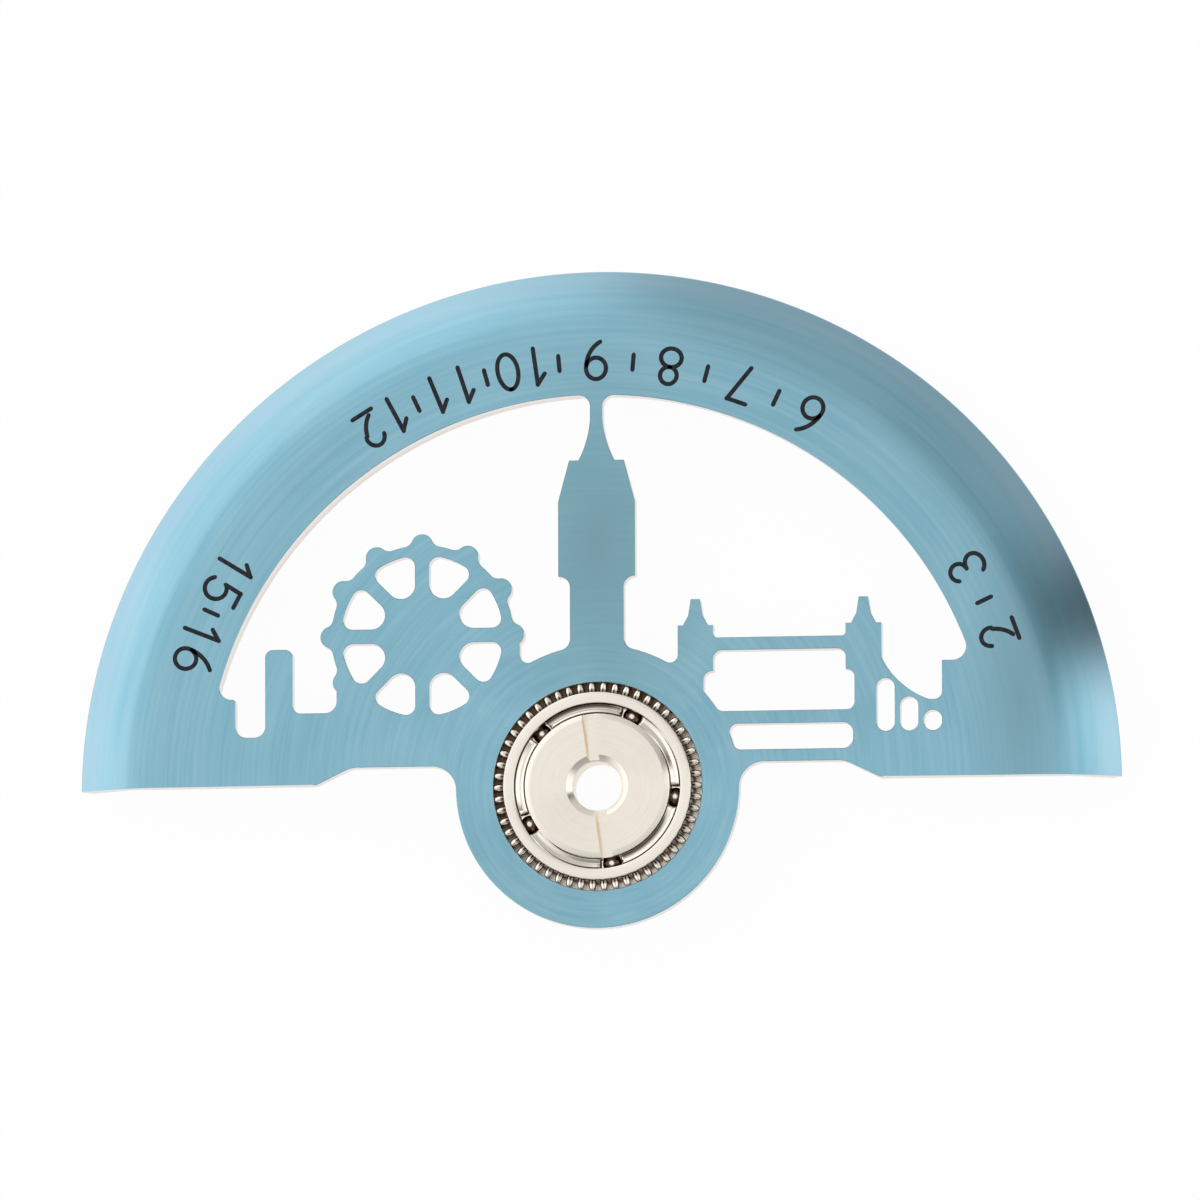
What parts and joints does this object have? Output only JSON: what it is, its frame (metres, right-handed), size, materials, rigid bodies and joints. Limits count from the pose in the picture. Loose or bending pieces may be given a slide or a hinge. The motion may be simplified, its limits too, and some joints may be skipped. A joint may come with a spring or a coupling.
{
  "type": "automatic watch rotor",
  "caption": "Openworked half-disc oscillating weight with a heavy rim, turning on a toothed central ball bearing.",
  "frame": {"origin": "on the bearing axis, in the plane of the inner ring's seat", "axes": "+Z along the bearing axis, out through the decorated face; +Y from the axis to the middle of the rim; +X along the straight cut edge"},
  "size_m": [0.0266, 0.0169, 0.002],
  "materials": {
    "blue_coating": "circular-brushed plate with a blue coating",
    "heavy_alloy": "fine-turned, uncoated",
    "turned_steel": "lathe-turned nickel plate",
    "polished_steel": "polished",
    "brass_cage": "nickel-plated",
    "rivet_steel": "flush turned",
    "engraving_fill": "matt black filling of the engraved scale"
  },
  "bodies": {
    "inner_ring": {"inner_ring_lower": "turned_steel", "inner_ring_upper": "turned_steel"},
    "rotor": {"rotor_plate": "blue_coating", "rim_weight": "heavy_alloy", "weight_rivets": "rivet_steel", "gear_ring": "turned_steel"},
    "cage": {"bearing_cage": "brass_cage", "ball_1": "polished_steel", "ball_2": "polished_steel", "ball_3": "polished_steel", "ball_4": "polished_steel", "ball_5": "polished_steel"}
  },
  "joints": [
    {"name": "rotor_spin", "type": "hinge", "parent": "inner_ring", "child": "rotor", "pos_m": [0, 0, 0], "axis": [0, 0, 1], "continuous": true},
    {"name": "cage_spin", "type": "hinge", "parent": "inner_ring", "child": "cage", "pos_m": [0, 0, 0], "axis": [0, 0, 1], "continuous": true}
  ],
  "couplings": [
    {"joint": "cage_spin", "follows": "rotor_spin", "ratio": 0.563}
  ]
}
